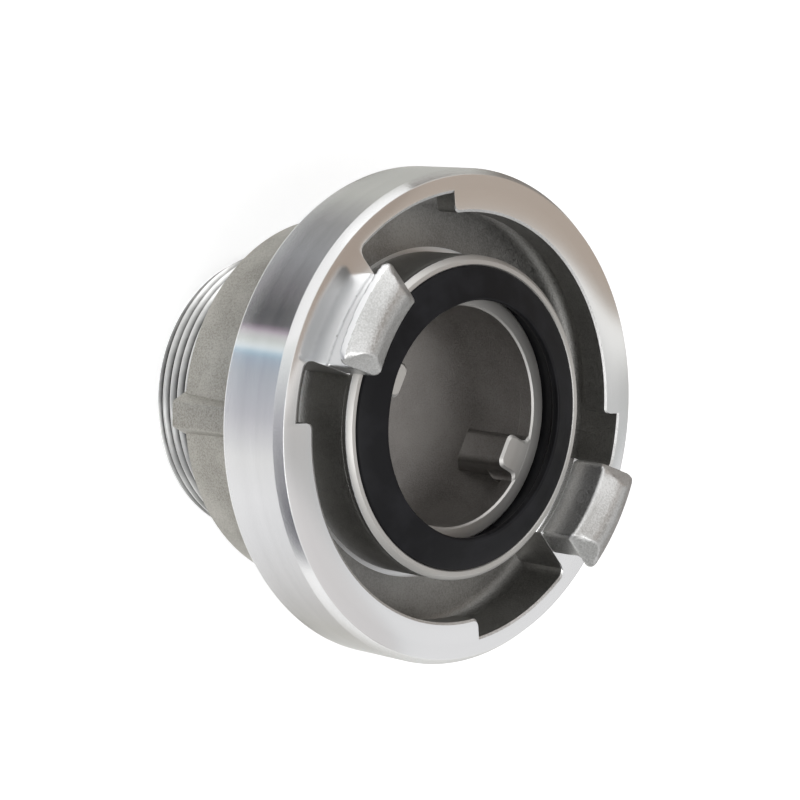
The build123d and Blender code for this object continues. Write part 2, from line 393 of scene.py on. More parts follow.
@dataclass(frozen=True)
class LipTrack:
    """Bayonet track with its two ramped lips, notches and entry openings."""

    lip_radius: float = 40.5
    opening_radius: float = 44.5
    entry_thickness: float = 5.0
    end_thickness: float = 5.9
    depth: float = 12.5
    floor_fillet: float = 3.0
    tube_radius: float = 32.1
    groove_width: float = 1.0
    groove_depth: float = 0.6
    edge_width: float = 0.5
    edge_depth: float = 0.25
    lip_corner: float = 1.2
    opening_corner: float = 2.0
    lug_end: float = 15.25
    notch: float = 15.7
    entry: float = 35.4
    step: float = 1.0
    corner_steps: int = 6
    rim_room: float = 0.5
    rim_room_depth: float = 1.0
    rim_room_foot: float = 1.28
    reach: float = 3.0
    fillet_steps: int = 8

    @property
    def lip_start(self) -> float:
        """Angle where the lip begins, counted from the middle of a lug."""
        return self.lug_end + self.notch

    @property
    def lip_end(self) -> float:
        """Angle where the lip ends at the entry opening."""
        return 180 - self.lug_end - self.entry

    def thickness(self, angle: float) -> float:
        """Returns the lip's thickness at an angle, which grows from the entry opening."""
        share = clamp((angle - self.lip_start) / (self.lip_end - self.lip_start), 0, 1)
        return self.end_thickness + (self.entry_thickness - self.end_thickness) * share

    def columns(self) -> list[Column]:
        """Lays out the cutter's columns over one half of the track.

        Returns:
            Angle, mouth radius and wall radius of each column, by rising angle.
        """
        first, last = self.lug_end, 180 - self.lug_end
        lip = math.degrees(self.lip_corner / self.lip_radius)
        wall = math.degrees(self.opening_corner / self.opening_radius)
        return [
            *self.wall_end(first, wall),
            *self.plain(first + wall, self.lip_start, self.opening_radius),
            *self.lip_tip(self.lip_start, lip),
            *self.plain(self.lip_start + lip, self.lip_end - lip, self.lip_radius),
            *reversed(self.lip_tip(self.lip_end, -lip)),
            *self.plain(self.lip_end, last - wall, self.opening_radius),
            *reversed(self.wall_end(last, -wall)),
        ]

    def rounded(self, corner: float) -> list[Point]:
        """Returns shares of a rounded corner's width, each with how far it draws in there."""
        shares = [index / self.corner_steps for index in range(self.corner_steps + 1)]
        return [(share, corner * (1 - math.sqrt(1 - (1 - share) ** 2))) for share in shares]

    def wall_end(self, angle: float, span: float) -> list[Column]:
        """Returns columns of a rounded corner in the wall, from an angle over a span."""
        wall, shares = self.opening_radius, self.rounded(self.opening_corner)
        return [(angle + span * share, wall - drawn, wall - drawn) for share, drawn in shares]

    def lip_tip(self, angle: float, span: float) -> list[Column]:
        """Returns columns of a lip's rounded corner, from an angle over a span."""
        wall, lip, shares = self.opening_radius, self.lip_radius, self.rounded(self.lip_corner)
        return [(angle + span * share, lip + drawn, wall) for share, drawn in shares]

    def plain(self, start: float, end: float, mouth: float) -> list[Column]:
        """Lays out even columns with one mouth radius.

        Args:
            start: Angle of the first column, in degrees.
            end: Angle of the last column, in degrees.
            mouth: Their mouth radius, in millimetres.

        Returns:
            Angle, mouth radius and wall radius of each column.
        """
        count = max(2, round((end - start) / self.step))
        angles = [start + (end - start) * index / count for index in range(count + 1)]
        return [(angle, mouth, self.opening_radius) for angle in angles]

    def cutter(self, heights: Heights, turn: float) -> bpy.types.Object:
        """Makes the room that is cut for one half of the track.

        Args:
            heights: Levels along the axis.
            turn: Angle that the half is turned by, in degrees.

        Returns:
            The cutter, which reaches above the face.
        """
        floor = heights.face - self.depth
        inner = self.tube_radius + HAIR
        foot = inner + self.groove_width
        room = inner + self.rim_room
        above = heights.face + self.reach
        round_centre = (self.opening_radius - self.floor_fillet, floor + self.floor_fillet)
        fillet = arc(round_centre, self.floor_fillet, -90, 0, self.fillet_steps)
        sections = []
        for angle, mouth, wall in self.columns():
            under = heights.face - self.thickness(angle)
            outline = [(inner, floor - self.groove_depth), (foot, floor - self.groove_depth)]
            outline += [(foot, floor)] + [(min(r, wall), z) for r, z in fillet]
            outline += [(wall, under), (mouth, under), (mouth, heights.face - self.edge_depth)]
            outline += [(mouth + self.edge_width, heights.face), (mouth + self.edge_width, above)]
            outline += [(room, above), (room, heights.face - self.rim_room_depth)]
            outline += [(inner, heights.face - self.rim_room_foot)]
            sections.append([polar(r, angle + turn, z) for r, z in outline])
        return loft("track_cutter", sections, Ends.CAPPED)


@dataclass(frozen=True)
class HookedLug:
    """One hooked lug, turned on its shaft and bearing face and cast elsewhere."""

    half_angle: float = 15.22
    inner_radius: float = 33.13
    shaft_radius: float = 39.25
    outer_radius: float = 43.8
    hook_height: float = 7.1
    inner_height: float = 8.4
    bevel_height: float = 9.9
    bevel_radius: float = 36.3
    crown_height: float = 10.4
    crown_radius: float = 38.4
    outer_bevel: float = 0.9
    outer_bevel_height: float = 8.3
    upper_bevel: float = 2.7
    upper_bevel_height: float = 9.45
    facet_height: float = 7.35
    hook_corner: float = 2.5
    inner_corner: float = 1.0
    draft: float = 1.2
    root: float = 1.0
    shaft_fillet: float = 0.2
    shaft_groove: float = 0.3
    inner_edge: Sequence[Point] = ((0.0, -0.35), (0.12, -0.05), (0.4, 0.15))
    hook_edge: Sequence[Point] = ((-0.08, 0.3), (0.0, 0.15), (-0.1, 0.0))
    crown_steps: int = 16
    columns: int = 72
    column_bunching: float = 1.5
    voxel: float = 0.26
    softening: int = 7
    bearing_lean: float = 0.6
    bevel_lean: float = 0.68

    def outline(self) -> Outline:
        """Lays out the lug's section.

        Returns:
            Points of radius and height, the heights counted from the ring's face.
        """
        crown = []
        start = (self.bevel_radius, self.bevel_height)
        end = (self.outer_radius - self.upper_bevel, self.upper_bevel_height)
        for index in range(1, self.crown_steps):
            radius = start[0] + (end[0] - start[0]) * index / self.crown_steps
            crown.append((radius, self.crown(radius)))
        return [
            (self.inner_radius, -self.root),
            *shifted(self.inner_edge, self.inner_radius, self.inner_height),
            start,
            *crown,
            end,
            (self.outer_radius - self.outer_bevel, self.outer_bevel_height),
            *shifted(self.hook_edge, self.outer_radius, self.hook_height),
            (self.shaft_radius + self.shaft_fillet, self.hook_height),
            (self.shaft_radius, self.hook_height - self.shaft_fillet),
            (self.shaft_radius, self.shaft_groove),
            (self.shaft_radius - self.shaft_groove, 0.0),
            (self.shaft_radius - self.shaft_groove, -self.root),
        ]

    def crown(self, radius: float) -> float:
        """Finds the crown's height, a parabola through its three set points.

        Args:
            radius: Distance from the waterway's axis, in millimetres.

        Returns:
            The height above the ring's face, in millimetres.
        """
        x0, y0 = self.bevel_radius, self.bevel_height
        x1, y1 = self.crown_radius, self.crown_height
        x2, y2 = self.outer_radius - self.upper_bevel, self.upper_bevel_height
        first = y0 * (radius - x1) * (radius - x2) / ((x0 - x1) * (x0 - x2))
        second = y1 * (radius - x0) * (radius - x2) / ((x1 - x0) * (x1 - x2))
        third = y2 * (radius - x0) * (radius - x1) / ((x2 - x0) * (x2 - x1))
        return first + second + third

    def build(self, heights: Heights, turn: float) -> bpy.types.Object:
        """Makes the lug's mesh.

        Args:
            heights: Levels along the axis.
            turn: Angle of the lug's middle, in degrees.

        Returns:
            The lug, reaching a little below the face.
        """
        middle_radius = (self.inner_radius + self.outer_radius) / 2
        half = math.radians(self.half_angle) * middle_radius
        sections = []
        for index in range(self.columns + 1):
            share = 2 * index / self.columns - 1
            eased = math.copysign(1 - (1 - abs(share)) ** self.column_bunching, share)
            along = eased * half
            inset = half - abs(along)
            outer = self.outer_radius - self.corner_inset(self.hook_corner, inset)
            inner = self.inner_radius + self.corner_inset(self.inner_corner, inset)
            ceiling = self.facet_height + inset
            section = []
            for radius, height in self.outline():
                height = min(height, ceiling)
                radius = clamp(radius, inner, max(outer, inner + NEAR))
                lean = math.tan(math.radians(self.draft)) * max(height, 0) * abs(eased)
                angle = math.degrees((along - math.copysign(lean, along)) / middle_radius)
                section.append(polar(radius, angle + turn, heights.face + height))
            sections.append(section)
        lug = loft("lug", sections, Ends.CAPPED)
        soften(lug, self.voxel, self.softening)
        return lug

    @staticmethod
    def corner_inset(corner: float, inset: float) -> float:
        """Finds how far a rounded corner draws in.

        Args:
            corner: Radius of the corner, in millimetres.
            inset: Distance from the lug's end, in millimetres.

        Returns:
            The distance that the corner draws in, in millimetres.
        """
        if inset >= corner:
            return 0.0
        return corner - math.sqrt(max(corner**2 - (corner - inset) ** 2, 0.0))


@dataclass(frozen=True)
class OuterRib:
    """Cast rib along the outside of the bell."""

    crest_radius: float = 40.2
    crest_width: float = 5.1
    root_radius: float = 32.0
    crest_round: float = 0.9
    flank_run: float = 0.5
    corner_steps: int = 5
    ring_overlap: float = 2.0

    def build(self, heights: Heights, turn: float) -> bpy.types.Object:
        """Makes one rib from the shoulder to the back of the ring.

        Args:
            heights: Levels along the axis.
            turn: Angle of the rib's middle, in degrees.

        Returns:
            The rib, its root inside the bell's wall.
        """
        half = self.crest_width / 2
        flank = (self.crest_radius - self.root_radius) * self.flank_run
        corner = self.crest_round
        bend_angle = 90 - math.degrees(math.atan(self.flank_run))
        tangent = corner * math.tan(math.radians(bend_angle / 2))
        plan = [(self.root_radius, half + flank), (self.root_radius, -half - flank)]
        for side, start in ((-1, -bend_angle), (1, 0.0)):
            centre = (self.crest_radius - corner, (half - tangent) * side)
            plan += arc(centre, corner, start, start + bend_angle, self.corner_steps)
        spin = Matrix.Rotation(math.radians(turn), 4, "Z")
        levels = (heights.shoulder + HAIR, heights.ring_back + self.ring_overlap)
        sections = [[spin @ Vector((x, y, z)) * MILLIMETRE for x, y in plan] for z in levels]
        return loft("outer_rib", sections, Ends.CAPPED)


@dataclass(frozen=True)
class InnerRib:
    """Cast rib inside the waterway, faced flush with the collar and sloped at the back."""

    width: float = 7.1
    crest_radius: float = 16.0
    root_radius: float = 24.4
    crest_length: float = 11.9
    root_length: float = 18.9
    corner: float = 1.6
    chamfer: float = 0.5
    fillet: float = 1.5
    fillet_steps: int = 6
    fillet_fade: float = 2.2
    corner_steps: int = 8
    collar_radius: float = 22.0
    collar_length: float = 5.6

    def plan(self, flare: float) -> Outline:
        """Returns the rib's outline seen along the axis.

        Args:
            flare: Share of the full fillet that joins the rib to the collar, from 0 to 1.

        Returns:
            Points across the axis, with the rib reaching out along the first.
        """
        half = self.width / 2
        fillet = self.fillet
        start = math.sqrt(self.collar_radius**2 - (half + fillet) ** 2) - fillet
        points = []
        for side in (-1, 1):
            root = []
            for index in range(self.fillet_steps + 1):
                turned = math.radians(90 * index / self.fillet_steps)
                flared = fillet * (1 - math.cos(turned)) * flare
                root.append((start + fillet * math.sin(turned), side * (half + flared)))
            centre = (self.crest_radius + self.corner, (half - self.corner) * side)
            bend = arc(centre, self.corner, 90 * side, 180 * side, self.corner_steps)
            whole = [(self.root_radius, root[-1][1]), *reversed(root), *bend]
            points += whole if side < 0 else list(reversed(whole))
        return points

    def build(self, heights: Heights, turn: float) -> bpy.types.Object:
        """Makes one rib.

        Args:
            heights: Levels along the axis.
            turn: Angle of the rib's middle, in degrees.

        Returns:
            The rib, its root inside the casting's wall.
        """
        half = self.width / 2
        top = heights.collar - HAIR
        spin = Matrix.Rotation(math.radians(turn), 4, "Z")
        sections = []
        levels = (
            (self.chamfer, 0.0, 1.0),
            (0.0, -self.chamfer, 1.0),
            (0.0, -self.collar_length, 1.0),
            (0.0, -self.collar_length - self.fillet_fade, 0.0),
        )
        depth = self.root_radius - self.crest_radius
        for inset, level, flare in levels:
            section = []
            for x, y in self.plan(flare):
                narrow = (half - inset) / half
                inward = inset * (1 - (x - self.crest_radius) / depth)
                section.append(spin @ Vector((x + inward, y * narrow, top + level)) * MILLIMETRE)
            sections.append(section)
        slope = (self.root_length - self.crest_length) / depth
        foot = []
        for x, y in self.plan(0.0):
            level = top - self.crest_length - (x - self.crest_radius) * slope
            foot.append(spin @ Vector((x, y, level)) * MILLIMETRE)
        sections.append(foot)
        return loft("inner_rib", sections, Ends.CAPPED)


@dataclass(frozen=True)
class TurnedAluminium:
    """Lathe-turned bright aluminium, with fine rings about the axis."""

    name: str
    colour: Colour = (0.90, 0.90, 0.90)
    roughness: float = 0.2
    anisotropy: float = 0.95
    groove: float = 0.05
    groove_scale: float = 2600.0
    broad_share: float = 0.12
    smudge_scale: float = 60.0
    shade: float = 0.97
    shade_range: Point = (0.35, 0.6)
    polish: Point = (0.9, 1.15)

    def material(self) -> bpy.types.Material:
        """Makes the material.

        Returns:
            The material, its rings in bump, tone and roughness.
        """
        nodes = Nodes(self.name)
        shader = nodes.principled(self.colour, self.roughness, metallic=1.0)
        nodes.brush(shader, self.anisotropy)
        rings = nodes.ring_coordinates()
        fine = nodes.noise(rings, self.groove_scale, detail=3.0)
        broad = nodes.noise(rings, self.groove_scale * self.broad_share, detail=2.0)
        smudge = nodes.noise(nodes.place(), self.smudge_scale, detail=4.0)
        nodes.bump(fine, shader, self.groove, FINE_BUMP)
        mixed = nodes.maths("ADD", broad, smudge)
        nodes.roughen(mixed, shader, TWO_NOISES, self.roughness, self.polish)
        low = tuple(c * self.shade for c in self.colour)
        nodes.colour(broad, shader, (low, self.colour), self.shade_range)
        return nodes.material


@dataclass(frozen=True)
class ThreadedAluminium:
    """Cut thread, bright on its crests, dull and darkened by painted shade and speckled grime down
    in its roots.
    """

    name: str = "cut_thread"
    crest: Colour = (0.68, 0.68, 0.67)
    # Colour of the roots: painted shade in the thread's grooves.
    root: Colour = (0.045, 0.045, 0.043)
    crest_radius: float = 29.75
    root_radius: float = 28.5
    roughness: float = 0.28
    root_roughness: float = 0.5
    anisotropy: float = 0.5
    grime: float = 0.3
    grime_scale: float = 400.0
    shade_and_grime_range: Point = (0.12, 0.95)
    chatter: float = 0.1
    chatter_scale: float = 3000.0

    def material(self) -> bpy.types.Material:
        """Makes the material.

        Returns:
            The material, whose colour darkens with painted shade and whose roughness dulls with the
            depth of the thread.
        """
        nodes = Nodes(self.name)
        shader = nodes.principled(self.crest, self.roughness, metallic=1.0)
        nodes.brush(shader, self.anisotropy)
        apart = nodes.add("ShaderNodeSeparateXYZ")
        nodes.link(nodes.ring_coordinates(), apart.inputs[0])
        low = self.root_radius * MILLIMETRE
        high = self.crest_radius * MILLIMETRE
        depth = nodes.remap(apart.outputs["X"], low, high, 0.0, 1.0)
        speckle = nodes.noise(nodes.place(), self.grime_scale, detail=4.0)
        grime = nodes.maths("MULTIPLY", speckle, self.grime)
        # Painted shade: the colour darkens from crest to root, with speckled grime laid over it.
        shade = nodes.maths("ADD", nodes.maths("SUBTRACT", depth, self.grime / 2), grime)
        nodes.colour(shade, shader, (self.root, self.crest), self.shade_and_grime_range)
        nodes.roughen(shade, shader, (0.0, 1.0), 1.0, (self.root_roughness, self.roughness))
        marks = nodes.noise(nodes.ring_coordinates(), self.chatter_scale, detail=2.0)
        nodes.bump(marks, shader, self.chatter, FINE_BUMP)
        return nodes.material


@dataclass(frozen=True)
class CastAluminium:
    """Rough sand-cast aluminium with fine glinting grain."""

    name: str
    colour: Colour = (0.56, 0.55, 0.52)
    dark: Colour = (0.40, 0.39, 0.37)
    roughness: float = 0.5
    grain: float = 0.5
    grain_scale: float = 2800.0
    lump: float = 0.5
    lump_scale: float = 500.0
    blotch_scale: float = 90.0
    blotch_share: float = 0.4
    dark_range: Point = (0.38, 0.6)
    glint: Point = (0.75, 1.2)

    def material(self) -> bpy.types.Material:
        """Makes the material.

        Returns:
            The material, with grain and lumps in its bump and blotches in its tone.
        """
        nodes = Nodes(self.name)
        shader = nodes.principled(self.colour, self.roughness, metallic=1.0)
        place = nodes.place()
        grain = nodes.noise(place, self.grain_scale, detail=4.0)
        lumps = nodes.noise(place, self.lump_scale, detail=5.0)
        blotch = nodes.noise(place, self.blotch_scale, detail=6.0)
        height = nodes.maths("ADD", grain, nodes.maths("MULTIPLY", lumps, self.lump))
        nodes.bump(height, shader, self.grain, COARSE_BUMP)
        fine = nodes.maths("MULTIPLY", grain, 1 - self.blotch_share)
        tone = nodes.maths("ADD", fine, nodes.maths("MULTIPLY", blotch, self.blotch_share))
        nodes.colour(tone, shader, (self.dark, self.colour), self.dark_range)
        nodes.roughen(grain, shader, ONE_NOISE, self.roughness, self.glint)
        return nodes.material


@dataclass(frozen=True)
class SealRubber:
    """Black moulded rubber with a satin skin."""

    name: str = "seal_rubber"
    colour: Colour = (0.0085, 0.0085, 0.0098)
    roughness: float = 0.45
    sheen: float = 0.12
    skin: float = 0.12
    skin_scale: float = 900.0
    dust_scale: float = 120.0
    dust_gain: float = 2.2
    dust_range: Point = (0.45, 0.75)
    satin: Point = (0.8, 1.25)

    def material(self) -> bpy.types.Material:
        """Makes the material.

        Returns:
            The material, with a fine skin and a little pale dust.
        """
        nodes = Nodes(self.name)
        shader = nodes.principled(self.colour, self.roughness, metallic=0.0)
        shader.inputs["Specular IOR Level"].default_value = self.sheen
        place = nodes.place()
        skin = nodes.noise(place, self.skin_scale, detail=4.0)
        dust = nodes.noise(place, self.dust_scale, detail=6.0)
        nodes.bump(skin, shader, self.skin, COARSE_BUMP)
        pale = tuple(c * self.dust_gain for c in self.colour)
        nodes.colour(dust, shader, (self.colour, pale), self.dust_range)
        nodes.roughen(dust, shader, ONE_NOISE, self.roughness, self.satin)
        return nodes.material


class Nodes:
    """Small builder for one material's node tree."""

    def __init__(self, name: str) -> None:
        """Starts an empty material with an output node.

        Args:
            name: Name of the material.
        """
        self.material = bpy.data.materials.new(name)
        self.material.use_nodes = True
        self.tree = self.material.node_tree
        self.tree.nodes.clear()
        self.output = self.add("ShaderNodeOutputMaterial")

    def add(self, kind: str, **settings: object) -> bpy.types.Node:
        """Adds a node and sets its properties.

        Args:
            kind: The node's type.
            **settings: Properties of the node by name.

        Returns:
            The node.
        """
        node = self.tree.nodes.new(kind)
        for key, value in settings.items():
            setattr(node, key, value)
        return node

    def link(self, source: Socket, target: Socket) -> None:
        """Links two sockets."""
        self.tree.links.new(source, target)

    def principled(self, colour: Colour, roughness: float, metallic: float) -> bpy.types.Node:
        """Adds the main shader and joins it to the output.

        Args:
            colour: Base colour.
            roughness: Roughness, from 0 to 1.
            metallic: 1 for metal and 0 for other stuff.

        Returns:
            The shader.
        """
        shader = self.add("ShaderNodeBsdfPrincipled")
        shader.inputs["Base Color"].default_value = (*colour, 1.0)
        shader.inputs["Roughness"].default_value = roughness
        shader.inputs["Metallic"].default_value = metallic
        self.link(shader.outputs["BSDF"], self.output.inputs["Surface"])
        return shader

    def brush(self, shader: bpy.types.Node, anisotropy: float) -> None:
        """Stretches a shader's highlights as grooves about the axis do.

        Args:
            shader: The main shader.
            anisotropy: How far the highlights stretch, from 0 to 1.
        """
        shader.inputs["Anisotropic"].default_value = anisotropy
        shader.inputs["Anisotropic Rotation"].default_value = ACROSS
        tangent = self.add("ShaderNodeTangent", direction_type="RADIAL", axis="Z")
        self.link(tangent.outputs["Tangent"], shader.inputs["Tangent"])

    def place(self) -> Socket:
        """Returns the place on the object, in metres."""
        return self.add("ShaderNodeTexCoord").outputs["Object"]

    def maths(self, operation: str, first: Socket, second: Socket | float) -> Socket:
        """Joins two values, or a value and a number, with one operation.

        Args:
            operation: Name of the operation.
            first: The first value.
            second: The second value, or a number.

        Returns:
            The result.
        """
        node = self.add("ShaderNodeMath", operation=operation)
        self.link(first, node.inputs[0])
        if isinstance(second, (int, float)):
            node.inputs[1].default_value = second
        else:
            self.link(second, node.inputs[1])
        return node.outputs[0]

    def ring_coordinates(self) -> Socket:
        """Makes coordinates that change with radius and height but not round the axis.

        Returns:
            The coordinates, with the radius along X and the height along Z, in metres.
        """
        apart = self.add("ShaderNodeSeparateXYZ")
        self.link(self.place(), apart.inputs[0])
        squares = self.maths(
            "ADD",
            self.maths("POWER", apart.outputs["X"], 2.0),
            self.maths("POWER", apart.outputs["Y"], 2.0),
        )
        radius = self.maths("SQRT", squares, 0.0)
        joined = self.add("ShaderNodeCombineXYZ")
        self.link(radius, joined.inputs["X"])
        self.link(apart.outputs["Z"], joined.inputs["Z"])
        return joined.outputs[0]

    def noise(self, place: Socket, scale: float, detail: float) -> Socket:
        """Adds a noise.

        Args:
            place: Coordinates that the noise follows.
            scale: Number of its lumps to the metre.
            detail: Number of finer noises laid over it.

        Returns:
            The noise's value.
        """
        node = self.add("ShaderNodeTexNoise")
        node.inputs["Scale"].default_value = scale
        node.inputs["Detail"].default_value = detail
        self.link(place, node.inputs["Vector"])
        return node.outputs[0]

    def bump(
        self, height: Socket, shader: bpy.types.Node, strength: float, distance: float
    ) -> None:
        """Adds a bump to a shader.

        Args:
            height: Height of the bump.
            shader: The main shader.
            strength: Strength of the bump, from 0 to 1.
            distance: Metres that a height of 1 stands for.
        """
        node = self.add("ShaderNodeBump")
        node.inputs["Strength"].default_value = strength
        node.inputs["Distance"].default_value = distance
        self.link(height, node.inputs["Height"])
        self.link(node.outputs["Normal"], shader.inputs["Normal"])

    def remap(self, value: Socket, low: float, high: float, first: float, last: float) -> Socket:
        """Maps a value between two limits onto two others.

        Args:
            value: The value.
            low: Its lower limit.
            high: Its upper limit.
            first: What the lower limit becomes.
            last: What the upper limit becomes.

        Returns:
            The mapped value.
        """
        node = self.add("ShaderNodeMapRange")
        node.inputs["From Min"].default_value = low
        node.inputs["From Max"].default_value = high
        node.inputs["To Min"].default_value = first
        node.inputs["To Max"].default_value = last
        self.link(value, node.inputs["Value"])
        return node.outputs["Result"]

    def tones(self, value: Socket, stops: Sequence[Tone]) -> Socket:
        """Adds a ramp through several colours.

        Args:
            value: Place along the ramp, from 0 to 1.
            stops: Place and colour of each stop, in order.

        Returns:
            The ramp's colour.
        """
        node = self.add("ShaderNodeValToRGB")
        elements = node.color_ramp.elements
        while len(elements) < len(stops):
            elements.new(1.0)
        for element, stop in zip(elements, stops):
            element.position = stop[0]
        for element, stop in zip(elements, stops):
            element.color = (*stop[1], 1.0)
        self.link(value, node.inputs["Fac"])
        return node.outputs["Color"]

    def colour(
        self,
        value: Socket,
        shader: bpy.types.Node,
        colours: Sequence[Colour],
        limits: Point,
    ) -> None:
        """Blends a shader's colour between two colours.

        Args:
            value: Value that the blend follows.
            shader: The main shader.
            colours: The first and the last colour.
            limits: The values at which they are reached.
        """
        self.link(self.tones(value, tuple(zip(limits, colours))), shader.inputs["Base Color"])

    def roughen(
        self,
        value: Socket,
        shader: bpy.types.Node,
        limits: Point,
        roughness: float,
        shares: Point,
    ) -> None:
        """Varies a shader's roughness with a value.

        Args:
            value: Value that the roughness follows.
            shader: The main shader.
            limits: The values between which it changes.
            roughness: The mean roughness.
            shares: The shares of it that are reached at the two limits.
        """
        first, last = (roughness * share for share in shares)
        self.link(self.remap(value, *limits, first, last), shader.inputs["Roughness"])


@dataclass
class Casting:
    """The coupling's one-piece aluminium body, cast and then turned."""

    heights: Heights = field(default_factory=Heights)
    thread: PipeThread = field(default_factory=PipeThread)
    track: LipTrack = field(default_factory=LipTrack)
    lug: HookedLug = field(default_factory=HookedLug)
    outer_rib: OuterRib = field(default_factory=OuterRib)
    inner_rib: InnerRib = field(default_factory=InnerRib)
    outer_rib_angle: float = 34.0
    outer_rib_count: int = 4
    inner_rib_angle: float = 6.0
    segments: int = 384
    ring_radius: float = 49.0
    bell_rear_radius: float = 37.6
    bell_waist_radius: float = 38.6
    bell_front_radius: float = 44.2
    flare_length: float = 9.9
    mouth_radius: float = 30.1
    seal_groove_depth: float = 9.5
    collar_outer_radius: float = 25.4
    collar_inner_radius: float = 22.0
    collar_length: float = 5.6
    chamber_radius: float = 24.2
    chamber_length: float = 13.3
    chamber_step: float = 0.35
    chamber_step_length: float = 0.9
    outlet_radius: float = 23.3
    outlet_chamfer: float = 1.0
    neck_rise: float = 0.6
    neck_fillet: float = 0.3
    bell_chamfer: float = 0.8
    flare_steps: int = 14
    lug_clearance: float = 0.03
    slot_depth: float = 1.3
    worn_depth: float = 0.7
    ring_back_edge: Sequence[Point] = ((-0.6, 0.0), (-0.15, 0.15), (0.0, 0.6))
    ring_edge: Sequence[Point] = ((0.0, -1.85), (-0.06, -1.66), (-1.14, -0.06), (-1.3, 0.0))
    tube_edge: Sequence[Point] = ((0.0, -0.9), (-0.08, -0.8), (-0.82, -0.06), (-0.95, 0.0))
    mouth_edge: Sequence[Point] = ((0.25, 0.0), (0.0, -0.25))
    collar_outer_edge: Sequence[Point] = ((0.0, -0.6), (-0.6, 0.0))
    collar_inner_edge: Sequence[Point] = ((0.35, 0.0), (0.0, -0.35))
    crease_angle: float = 24.0
    finishes: dict[Surface, TurnedAluminium | CastAluminium | ThreadedAluminium] = field(
        default_factory=lambda: {
            Surface.TURNED_BAND: TurnedAluminium("turned_band"),
            Surface.TURNED_FACE: TurnedAluminium("turned_face", roughness=0.15, anisotropy=0.6),
            Surface.TURNED_HOOK: TurnedAluminium(
                "turned_hook", colour=(0.84, 0.845, 0.85), roughness=0.38, anisotropy=0.3
            ),
            Surface.CAST_BELL: CastAluminium(
                "cast_bell", colour=(0.50, 0.485, 0.445), dark=(0.265, 0.255, 0.225), grain=0.8
            ),
            # Darker than the bell's casting: painted shade in the recessed track.
            Surface.CAST_TRACK: CastAluminium(
                "cast_track", colour=(0.37, 0.365, 0.35), dark=(0.245, 0.24, 0.23)
            ),
            Surface.CAST_LUG: CastAluminium(
                "cast_lug",
                colour=(0.66, 0.66, 0.655),
                dark=(0.48, 0.48, 0.47),
                roughness=0.42,
                lump=0.2,
            ),
            # Darker than the bell's casting: painted shade inside the waterway.
            Surface.CAST_BORE: CastAluminium(
                "cast_bore", colour=(0.34, 0.324, 0.308), dark=(0.235, 0.22, 0.21)
            ),
            Surface.THREAD: ThreadedAluminium(),
            Surface.WORN_RIM: TurnedAluminium(
                "worn_rim", colour=(0.57, 0.56, 0.54), roughness=0.5, anisotropy=0.4, groove=0.3
            ),
        }
    )

    def outline(self, angle: float) -> Outline:
        """Returns the casting's section at one angle, before the track is cut.

        Args:
            angle: Angle about the axis, in degrees.

        Returns:
            A closed outline of radius and height, with as many points at every angle.
        """
        h = self.heights
        waist = h.ring_back - self.flare_length
        rise = self.flare_length
        width = self.bell_front_radius - self.bell_waist_radius
        flare_radius = (width**2 + rise**2) / (2 * width)
        sweep = math.degrees(math.asin(rise / flare_radius))
        flare_centre = (self.bell_waist_radius + flare_radius, waist)
        flare = arc(flare_centre, flare_radius, 180, 180 - sweep, self.flare_steps)
        seat = h.rim - self.seal_groove_depth
        chamber_top = h.collar - self.collar_length
        chamber_end = chamber_top - self.chamber_length
        inner = self.collar_inner_radius
        gap = self.lug.inner_radius - self.lug_clearance
        neck = self.thread.neck_radius
        slot = h.face - self.slot_depth
        return [
            (self.outlet_radius + self.outlet_chamfer, 0.0),
            *self.thread.outline(angle),
            (neck, self.thread.top + self.neck_rise),
            (neck, h.shoulder - self.neck_fillet),
            (neck + self.neck_fillet, h.shoulder),
            (self.bell_rear_radius - self.bell_chamfer, h.shoulder),
            (self.bell_rear_radius, h.shoulder + self.bell_chamfer),
            *flare,
            *shifted(self.ring_back_edge, self.ring_radius, h.ring_back),
            *shifted(self.ring_edge, self.ring_radius, h.face),
            (gap, h.face),
            (gap, slot),
            (self.track.tube_radius, slot),
            *shifted(self.tube_edge, self.track.tube_radius, h.rim),
            *shifted(self.mouth_edge, self.mouth_radius, h.rim),
            (self.mouth_radius, seat),
            (self.collar_outer_radius, seat),
            *shifted(self.collar_outer_edge, self.collar_outer_radius, h.collar),
            *shifted(self.collar_inner_edge, inner, h.collar),
            (inner, chamber_top + self.chamber_radius - inner),
            (self.chamber_radius, chamber_top),
            (self.chamber_radius, chamber_end + self.chamber_step_length),
            (self.chamber_radius - self.chamber_step, chamber_end),
            (self.outlet_radius, h.shoulder),
            (self.outlet_radius, self.outlet_chamfer),
        ]

    def build(self) -> bpy.types.Object:
        """Makes the casting's mesh, with every cut and every lug and rib.

        Returns:
            The casting.
        """
        angles = [360 * index / self.segments for index in range(self.segments + 1)]
        sections = [[polar(r, a, z) for r, z in self.outline(a)] for a in angles]
        body = loft("coupling_body_dressed", sections, Ends.WELDED)
        cuts = [self.track.cutter(self.heights, turn) for turn in (0, 180)]
        additions = [self.lug.build(self.heights, turn) for turn in (0, 180)]
        for index in range(self.outer_rib_count):
            turn = self.outer_rib_angle + 360 * index / self.outer_rib_count
            additions.append(self.outer_rib.build(self.heights, turn))
        for turn in (0, 180):
            additions.append(self.inner_rib.build(self.heights, self.inner_rib_angle + turn))
        combine(body, cuts, additions)
        smooth_by_angle(body, self.crease_angle)
        return body

    def dress(self, body: bpy.types.Object) -> None:
        """Gives each face of the casting its finish.

        Args:
            body: The casting.
        """
        order = list(Surface)
        body.data.materials.clear()
        for surface in order:
            body.data.materials.append(self.finishes[surface].material())
        for face in body.data.polygons:
            face.material_index = order.index(self.surface_of(face))

